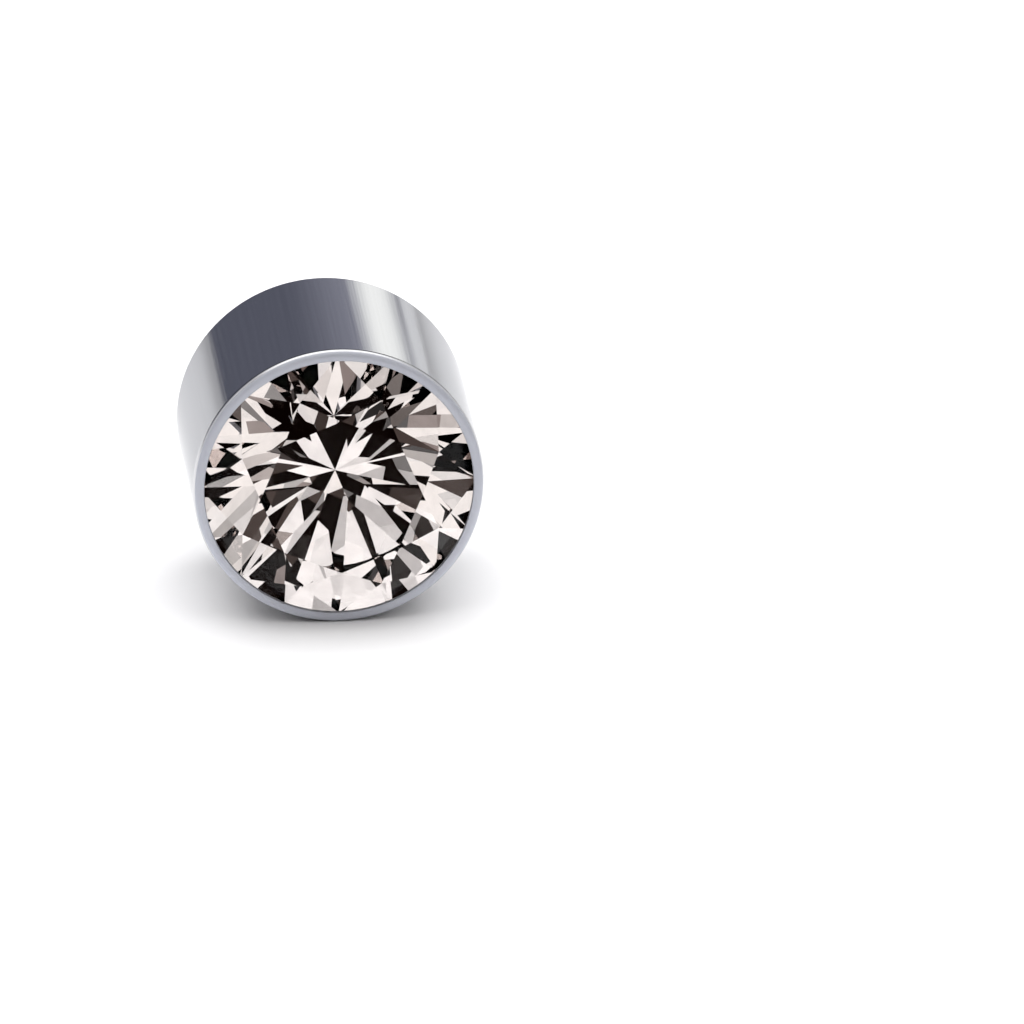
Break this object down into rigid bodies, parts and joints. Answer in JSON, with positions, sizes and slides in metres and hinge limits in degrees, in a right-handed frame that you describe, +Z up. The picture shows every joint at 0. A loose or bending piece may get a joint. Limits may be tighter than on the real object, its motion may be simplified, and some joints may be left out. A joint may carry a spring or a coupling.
{
  "type": "magnetic stud earring",
  "caption": "Magnetic stud earring: a round brilliant stone in a plain steel barrel cup, with a disc magnet in its back and a loose clip disc held on by it.",
  "frame": {"origin": "on the floor, under the middle of the part, which lies on its barrel", "axes": "+Y along the barrel's axis from the stone to the loose disc, +Z up, +X to the right of someone who faces the stone"},
  "size_m": [0.008, 0.0078, 0.008],
  "materials": {
    "satin_steel": "turned and satin brushed, with a polished rounded rim",
    "clear_stone": "polished facets, clear with a faint warm tint, silvered behind",
    "nickel_plate": "smooth bright nickel plating"
  },
  "bodies": {
    "root": {"bezel_cup": "satin_steel", "stone": "clear_stone", "cup_magnet": "nickel_plate", "clasp_back": "nickel_plate"}
  },
  "joints": []
}
